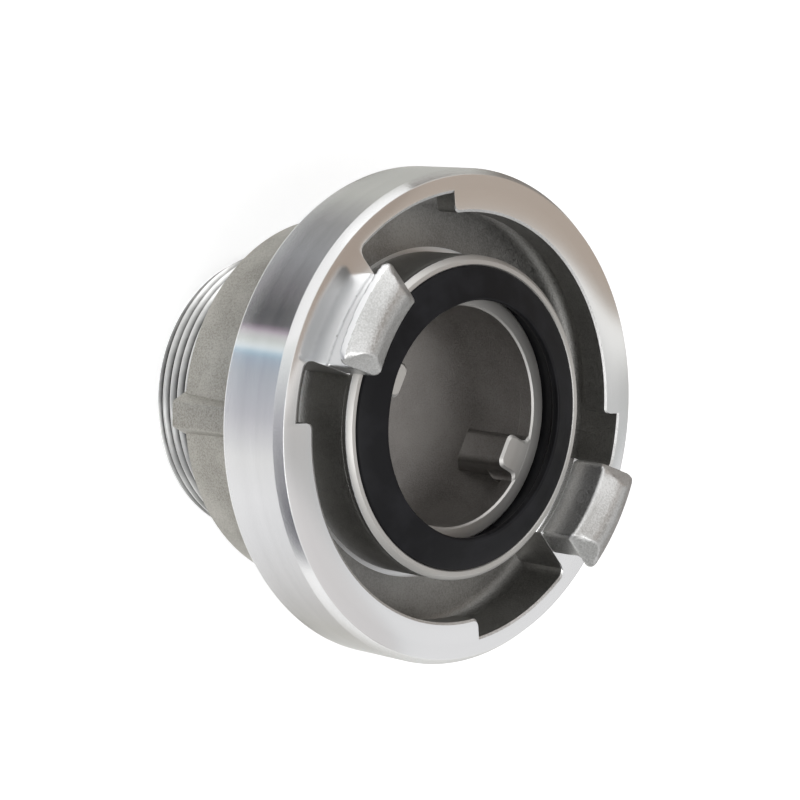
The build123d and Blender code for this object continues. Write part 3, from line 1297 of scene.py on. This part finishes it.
    def surface_of(self, face: bpy.types.MeshPolygon) -> Surface:
        """Finds the finish of a face from where it lies and which way it looks.

        Args:
            face: A face of the casting.

        Returns:
            The finish.
        """
        centre = face.center / MILLIMETRE
        radius = math.hypot(centre.x, centre.y)
        h, track, lug = self.heights, self.track, self.lug
        upward = face.normal.z
        outward = (face.normal.x * centre.x + face.normal.y * centre.y) / radius
        if centre.z < h.shoulder + NEAR:
            if radius < self.outlet_radius + 2 * NEAR:
                return Surface.CAST_BORE
            above_end = NEAR / 2 < centre.z < self.thread.top
            on_thread = radius > self.thread.minor_radius - 2 * NEAR and above_end
            return Surface.THREAD if on_thread else Surface.TURNED_BAND
        if radius < self.collar_outer_radius + NEAR:
            worn = upward > LEANING and centre.z > h.collar - self.worn_depth
            return Surface.WORN_RIM if worn else Surface.CAST_BORE
        if radius < self.mouth_radius + NEAR:
            return Surface.WORN_RIM
        if centre.z > h.face + HAIR and radius < track.tube_radius + NEAR:
            return Surface.WORN_RIM if upward > FACING else Surface.TURNED_FACE
        if centre.z < h.ring_back - HAIR:
            return Surface.CAST_BELL
        if centre.z > h.face + HAIR:
            shaft = outward > SQUARE and radius < lug.shaft_radius + NEAR
            bearing = upward < -lug.bearing_lean
            bevel = outward > lug.bevel_lean and radius > lug.outer_radius - lug.upper_bevel
            return Surface.TURNED_HOOK if shaft or bearing or bevel else Surface.CAST_LUG
        on_face = upward > FLAT and centre.z > h.face - HAIR
        if on_face or radius > track.opening_radius + track.edge_width:
            on_band = outward > LEANING or upward < -FACING
            return Surface.TURNED_BAND if on_band else Surface.TURNED_FACE
        if upward > LEANING and centre.z > h.face - track.edge_depth - NEAR / 2:
            return Surface.CAST_LUG
        tube_foot = radius < track.tube_radius + track.groove_width + NEAR
        if tube_foot and centre.z < h.face - track.depth - HAIR:
            return Surface.TURNED_HOOK if upward > FACING else Surface.TURNED_FACE
        gap = tube_foot and centre.z > h.face - self.slot_depth - NEAR / 2
        return Surface.TURNED_FACE if gap and outward < FACING else Surface.CAST_TRACK


@dataclass
class LipSeal:
    """Moulded rubber lip seal in the mouth of the inner tube."""

    heights: Heights = field(default_factory=Heights)
    finish: SealRubber = field(default_factory=SealRubber)
    outer_radius: float = 30.05
    inner_radius: float = 25.45
    seat: float = 51.6
    rim_height: float = 0.8
    lip_radius: float = 23.3
    lip_height: float = 2.8
    lip_thickness: float = 1.9
    pocket_drop: float = 1.0
    edge_round: float = 0.45
    edge_break: float = 0.12
    tip_steps: int = 5
    under_steps: int = 4
    under_end: float = 250.0
    slope_reach: float = 3.0
    lip_ease: float = 0.6
    wave: float = 0.15
    wave_across: float = 0.5
    wave_down: float = 0.35
    waves: Sequence[tuple[int, float, float]] = ((3, 1.0, 0.6), (5, 0.6, 2.1), (11, 0.35, 0.0))
    segments: int = 240
    crease_angle: float = 40.0

    def outline(self, angle: float) -> Outline:
        """Lays out the seal's section at one angle, a little uneven at its lip.

        Args:
            angle: Angle about the axis, in degrees.

        Returns:
            A closed outline of radius and height, with as many points at every angle.
        """
        turn = math.radians(angle)
        shape = sum(size * math.sin(count * turn + start) for count, size, start in self.waves)
        lip = self.lip_radius + self.wave * (1 + self.wave_across * shape)
        face = self.heights.face
        top = face + self.lip_height - self.wave_down * self.wave * (2 + shape)
        rim = face + self.rim_height
        under = face + self.lip_height - self.lip_thickness
        corner = self.edge_round
        slope = (top - rim) / (lip - self.outer_radius)
        return [
            (self.inner_radius, self.seat),
            (self.outer_radius, self.seat),
            (self.outer_radius, rim - corner),
            (self.outer_radius - self.edge_break, rim - self.edge_break),
            (self.outer_radius - corner, rim - corner * slope),
            (self.outer_radius - self.slope_reach, rim - self.slope_reach * slope),
            (lip + (1 + self.lip_ease) * corner, top + self.lip_ease * corner * slope),
            *arc((lip + corner, top - corner), corner, 90, 180, self.tip_steps),
            *arc((lip + corner, under + corner), corner, 180, self.under_end, self.under_steps),
            (self.inner_radius, face - self.pocket_drop),
        ]

    def build(self) -> bpy.types.Object:
        """Makes the seal's mesh.

        Returns:
            The seal.
        """
        angles = [360 * index / self.segments for index in range(self.segments)]
        sections = [[polar(r, a, z) for r, z in self.outline(a)] for a in angles]
        seal = loft("lip_seal_dressed", sections, Ends.LOOPED)
        smooth_by_angle(seal, self.crease_angle)
        return seal

    def dress(self, seal: bpy.types.Object) -> None:
        """Gives the seal its rubber."""
        seal.data.materials.append(self.finish.material())


def hidden_sheet(name: str, nodes: Nodes, colour: Socket, data: bpy.types.Mesh) -> bpy.types.Object:
    """Makes a glowing sheet that only reflections show.

    Args:
        name: Name of the sheet.
        nodes: Node tree that the colour belongs to.
        colour: The sheet's colour over its face.
        data: The sheet's mesh.

    Returns:
        The sheet.
    """
    light = nodes.add("ShaderNodeEmission")
    nodes.link(colour, light.inputs["Color"])
    nodes.link(light.outputs[0], nodes.output.inputs["Surface"])
    data.materials.append(nodes.material)
    sheet = placed(name, data)
    sheet.visible_camera = False
    sheet.visible_diffuse = False
    sheet.visible_shadow = False
    return sheet


@dataclass(frozen=True)
class Card:
    """A glowing graded card above or beside the part, seen only in reflections, whose tones paint
    the reflections and highlights on the turned metal.
    """

    name: str = "face_card"
    azimuth: float = 205.0
    elevation: float = 45.0
    roll: float = 0.0
    distance: float = 600.0
    width: float = 800.0
    height: float = 700.0
    # Tones across the card, then up it: painted reflections on the ring's face, with a painted
    # highlight in the white band.
    tones: Sequence[Tone] = (
        (0.0, (0.80, 0.80, 0.81)),
        (0.37, (0.80, 0.80, 0.81)),
        (0.40, (0.79, 0.79, 0.80)),
        (0.43, (0.68, 0.69, 0.70)),
        (0.455, (0.57, 0.58, 0.58)),
        (0.50, (0.56, 0.56, 0.56)),
        (0.52, (0.70, 0.70, 0.69)),
        (0.54, (0.92, 0.92, 0.91)),
        (0.568, (1.0, 1.0, 0.99)),
        (0.577, (0.58, 0.54, 0.50)),
        (0.588, (0.44, 0.385, 0.34)),
        (0.62, (0.45, 0.38, 0.325)),
        (1.0, (0.46, 0.40, 0.35)),
    )
    upward_tones: Sequence[Tone] = (
        (0.0, (0.98, 0.98, 0.97)),
        (0.555, (1.0, 1.0, 1.0)),
        (0.58, (0.98, 1.0, 1.0)),
        (0.592, (0.78, 0.78, 0.78)),
        (0.602, (0.82, 0.80, 0.79)),
        (1.0, (0.90, 0.87, 0.86)),
    )

    def build(self, aim: Vector) -> bpy.types.Object:
        """Makes the card, facing the part.

        Args:
            aim: The point that the card faces, in metres.

        Returns:
            The card.
        """
        away = direction(self.azimuth, self.elevation)
        half = (self.width / 2 * MILLIMETRE, self.height / 2 * MILLIMETRE)
        nodes = Nodes(self.name)
        apart = nodes.add("ShaderNodeSeparateXYZ")
        nodes.link(nodes.place(), apart.inputs[0])
        across = nodes.remap(apart.outputs["X"], -half[0], half[0], 0.0, 1.0)
        upward = nodes.remap(apart.outputs["Y"], -half[1], half[1], 0.0, 1.0)
        both = nodes.add("ShaderNodeVectorMath", operation="MULTIPLY")
        nodes.link(nodes.tones(across, self.tones), both.inputs[0])
        nodes.link(nodes.tones(upward, self.upward_tones), both.inputs[1])
        data = flat_sheet(self.name, *half)
        card = hidden_sheet(self.name, nodes, both.outputs[0], data)
        card.location = aim + away * self.distance * MILLIMETRE
        card.rotation_mode = "QUATERNION"
        turned = Quaternion((0, 0, 1), math.radians(self.roll))
        card.rotation_quaternion = away.to_track_quat("Z", "Y") @ turned
        return card


@dataclass(frozen=True)
class FloorSheet:
    """A glowing ring on the floor, seen only in reflections, whose tones by azimuth paint the
    reflections and streaks on the ring's band.
    """

    name: str = "floor_sheet"
    inner_radius: float = 62.0
    outer_radius: float = 420.0
    level: float = 0.1
    segments: int = 96
    # Azimuth in degrees and colour of each stop: painted reflections and streaks on the ring's
    # band.
    tones: Sequence[Tone] = (
        (-135.0, (0.27, 0.24, 0.22)),
        (-106.0, (0.24, 0.22, 0.20)),
        (-96.0, (0.55, 0.55, 0.52)),
        (-60.0, (0.49, 0.49, 0.46)),
        (-42.0, (0.28, 0.28, 0.28)),
        (-27.0, (0.27, 0.275, 0.285)),
        (-12.4, (0.155, 0.15, 0.16)),
        (-4.0, (0.085, 0.085, 0.09)),
        (2.2, (0.08, 0.08, 0.085)),
        (3.4, (0.46, 0.34, 0.45)),
        (4.8, (0.58, 0.57, 0.58)),
        (7.2, (0.60, 0.64, 0.61)),
        (9.6, (0.86, 0.90, 0.92)),
        (11.2, (0.38, 0.56, 0.68)),
        (12.8, (0.35, 0.42, 0.51)),
        (17.7, (0.40, 0.43, 0.48)),
        (32.7, (0.51, 0.51, 0.55)),
        (47.8, (0.79, 0.79, 0.79)),
        (62.8, (0.84, 0.84, 0.85)),
        (78.0, (0.78, 0.78, 0.79)),
        (107.0, (0.58, 0.57, 0.56)),
        (122.0, (0.54, 0.53, 0.50)),
        (150.0, (0.72, 0.72, 0.70)),
    )

    def build(self) -> bpy.types.Object:
        """Makes the sheet.

        Returns:
            The sheet, its tones set by the azimuth.
        """
        data = bpy.data.meshes.new(self.name)
        points = []
        faces = []
        for index in range(self.segments):
            angle = 360 * index / self.segments
            edges = (self.inner_radius, self.outer_radius)
            points += [polar(radius, angle, self.level) for radius in edges]
            after = (index + 1) % self.segments
            faces.append((2 * index, 2 * index + 1, 2 * after + 1, 2 * after))
        data.from_pydata([tuple(point) for point in points], [], faces)
        nodes = Nodes(self.name)
        turned = nodes.add("ShaderNodeTexGradient", gradient_type="RADIAL")
        nodes.link(nodes.place(), turned.inputs[0])
        stops = [(azimuth / 360 + 0.5, colour) for azimuth, colour in self.tones]
        return hidden_sheet(self.name, nodes, nodes.tones(turned.outputs["Fac"], stops), data)


@dataclass(frozen=True)
class Softbox:
    """An area lamp that faces the part."""

    name: str
    azimuth: float
    elevation: float
    distance: float
    size: float
    power: float

    def build(self, aim: Vector) -> bpy.types.Object:
        """Makes the lamp.

        Args:
            aim: The point that the lamp faces, in metres.

        Returns:
            The lamp.
        """
        away = direction(self.azimuth, self.elevation)
        data = bpy.data.lights.new(self.name, "AREA")
        data.shape = "SQUARE"
        data.size = self.size * MILLIMETRE
        data.energy = self.power
        lamp = placed(self.name, data)
        lamp.location = aim + away * self.distance * MILLIMETRE
        lamp.rotation_mode = "QUATERNION"
        lamp.rotation_quaternion = away.to_track_quat("Z", "Y")
        return lamp


@dataclass
class Studio:
    """Pale floor, white surroundings, lamps, glowing cards and a floor sheet that paint reflections
    on the metal, and the camera.
    """

    aim: tuple[float, float, float] = (9.78, 2.41, 51.33)
    camera_azimuth: float = 24.627
    camera_elevation: float = 45.935
    camera_roll: float = -97.31
    camera_distance: float = 525.0
    lens: float = 120.3
    near_clip: float = 10.0
    far_clip: float = 50000.0
    floor_size: float = 6000.0
    floor_drop: float = 0.2
    floor_colour: Colour = (0.8, 0.8, 0.8)
    floor_glow: float = 0.56
    ambient: float = 0.55
    softboxes: Sequence[Softbox] = (
        Softbox("key", 60.0, 62.0, 900.0, 500.0, 2.4),
        Softbox("fill", -60.0, 35.0, 1100.0, 600.0, 1.5),
    )
    # Glowing cards seen only in reflections: their tones paint the reflections on the turned metal.
    cards: Sequence[Card] = (
        Card(roll=8.7),
        Card(
            "slate_card",
            azimuth=50.0,
            elevation=20.0,
            width=1200.0,
            height=600.0,
            tones=(
                (0.0, (0.85, 0.86, 0.84)),
                (0.16, (0.70, 0.72, 0.72)),
                (0.36, (0.35, 0.35, 0.38)),
                (0.52, (0.16, 0.16, 0.18)),
                (0.68, (0.05, 0.05, 0.07)),
                (0.78, (0.10, 0.10, 0.12)),
                (0.88, (0.30, 0.30, 0.32)),
                (0.95, (0.65, 0.65, 0.66)),
                (1.0, (0.85, 0.85, 0.85)),
            ),
            upward_tones=PLAIN,
        ),
        Card(
            "side_card",
            azimuth=132.0,
            elevation=28.0,
            width=420.0,
            height=330.0,
            tones=((0.0, (0.30, 0.30, 0.29)), (1.0, (0.30, 0.30, 0.29))),
            upward_tones=PLAIN,
        ),
        Card(
            "tan_card",
            azimuth=259.5,
            elevation=9.9,
            distance=435.0,
            width=430.0,
            height=262.0,
            tones=(
                (0.0, (0.29, 0.25, 0.22)),
                (0.6, (0.23, 0.20, 0.185)),
                (1.0, (0.15, 0.13, 0.12)),
            ),
            upward_tones=PLAIN,
        ),
        Card(
            "grey_card",
            azimuth=205.0,
            elevation=4.6,
            distance=435.0,
            width=400.0,
            height=178.0,
            tones=((0.0, (0.34, 0.34, 0.33)), (1.0, (0.33, 0.315, 0.30))),
            upward_tones=PLAIN,
        ),
    )
    sheet: FloorSheet = field(default_factory=FloorSheet)

    def build(self) -> None:
        """Makes everything around the part."""
        self.build_floor()
        self.build_world()
        centre = Vector(self.aim) * MILLIMETRE
        for softbox in self.softboxes:
            softbox.build(centre)
        [card.build(centre) for card in self.cards]
        self.sheet.build()
        self.build_camera(centre)

    def seen_rays(self, nodes: Nodes) -> Socket:
        """Tells the rays that see the studio from those that only light the part.

        Args:
            nodes: Node tree that asks.

        Returns:
            1 for camera, glossy and transmission rays and 0 for others.
        """
        path = nodes.add("ShaderNodeLightPath")
        seen = nodes.maths("MAXIMUM", path.outputs["Is Camera Ray"], path.outputs["Is Glossy Ray"])
        return nodes.maths("MAXIMUM", seen, path.outputs["Is Transmission Ray"])

    def build_floor(self) -> None:
        """Makes the floor, white to the camera but for the part's shadow."""
        half = self.floor_size / 2 * MILLIMETRE
        data = flat_sheet("floor", half, half)
        floor = placed("floor", data)
        floor.location.z = -self.floor_drop * MILLIMETRE
        nodes = Nodes("floor_paper")
        paper = nodes.add("ShaderNodeBsdfDiffuse")
        paper.inputs["Color"].default_value = (*self.floor_colour, 1.0)
        glow = nodes.add("ShaderNodeEmission")
        strength = nodes.maths("MULTIPLY", self.seen_rays(nodes), self.floor_glow)
        nodes.link(strength, glow.inputs["Strength"])
        both = nodes.add("ShaderNodeAddShader")
        nodes.link(paper.outputs[0], both.inputs[0])
        nodes.link(glow.outputs[0], both.inputs[1])
        nodes.link(both.outputs[0], nodes.output.inputs["Surface"])
        data.materials.append(nodes.material)

    def build_world(self) -> None:
        """Makes the surroundings, white where they are seen and softly lit elsewhere."""
        world = bpy.data.worlds.new("surroundings")
        bpy.context.scene.world = world
        world.use_nodes = True
        tree = world.node_tree
        background = tree.nodes["Background"]
        path = tree.nodes.new("ShaderNodeLightPath")
        seen = tree.nodes.new("ShaderNodeMath")
        seen.operation = "MAXIMUM"
        tree.links.new(path.outputs["Is Camera Ray"], seen.inputs[0])
        tree.links.new(path.outputs["Is Glossy Ray"], seen.inputs[1])
        strength = tree.nodes.new("ShaderNodeMapRange")
        strength.inputs["To Min"].default_value = self.ambient
        strength.inputs["To Max"].default_value = 1.0
        tree.links.new(seen.outputs[0], strength.inputs["Value"])
        tree.links.new(strength.outputs["Result"], background.inputs["Strength"])
        background.inputs["Color"].default_value = (1.0, 1.0, 1.0, 1.0)

    def build_camera(self, aim: Vector) -> None:
        """Makes the camera, rolled so that the waterway lies across the picture.

        Args:
            aim: The point that the camera looks at, in metres.
        """
        back = direction(self.camera_azimuth, self.camera_elevation)
        side = (-back).cross(Vector((0, 0, 1))).normalized()
        level = side.cross(-back)
        roll = math.radians(self.camera_roll)
        upward = level * math.cos(roll) + side * math.sin(roll)
        data = bpy.data.cameras.new("camera")
        data.lens = self.lens
        data.clip_start = self.near_clip * MILLIMETRE
        data.clip_end = self.far_clip * MILLIMETRE
        camera = placed("camera", data)
        axes = Matrix((upward.cross(back), upward, back)).transposed().to_4x4()
        place = aim + back * self.camera_distance * MILLIMETRE
        camera.matrix_world = Matrix.Translation(place) @ axes
        bpy.context.scene.camera = camera


def main() -> None:
    """Builds the casting, the seal and the studio."""
    logging.basicConfig(level=logging.INFO, format="%(name)s: %(message)s")
    bpy.context.scene.view_settings.view_transform = "Standard"
    casting = Casting()
    body = casting.build()
    casting.dress(body)
    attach(body, "root")
    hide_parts("coupling_body")
    LOG.info("casting: %d faces", len(body.data.polygons))
    sealing = LipSeal()
    seal = sealing.build()
    sealing.dress(seal)
    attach(seal, "root")
    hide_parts("lip_seal")
    LOG.info("lip seal: %d faces", len(seal.data.polygons))
    Studio().build()


if __name__ == "__main__":
    main()
